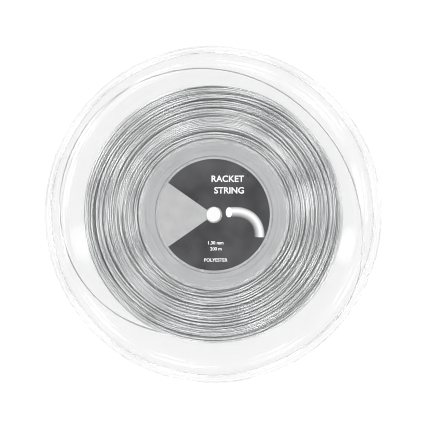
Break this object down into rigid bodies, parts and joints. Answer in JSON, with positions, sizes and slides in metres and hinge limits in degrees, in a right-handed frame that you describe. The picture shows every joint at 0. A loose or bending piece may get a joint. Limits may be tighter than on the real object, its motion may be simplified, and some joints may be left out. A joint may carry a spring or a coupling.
{
  "type": "racket string reel",
  "caption": "Clear plastic reel wound with silver-white racket string, with a push-fit drum, a dark round label on each hub and a loose string end tucked into the front rim.",
  "frame": {"origin": "centre of the rear rim's plane, on the reel's axis: the reel lies on its rear rim", "axes": "+Z along the reel's axis, out of the front label; +Y towards the top of the label; +X to the label's right"},
  "size_m": [0.27, 0.27, 0.03],
  "materials": {
    "clear_plastic": "clear, polished moulding",
    "milky_plastic": "satin, milky grey moulding",
    "label_film": "printed, semi-gloss laminate",
    "string_monofilament": "silver-white polyester monofilament, semi-gloss"
  },
  "bodies": {
    "root": {"front_flange": "clear_plastic", "rear_flange": "clear_plastic", "drum": "milky_plastic", "front_label": "label_film", "rear_label": "label_film", "string_winding": "string_monofilament", "string_anchor": "string_monofilament", "string_tail": "string_monofilament"}
  },
  "joints": []
}
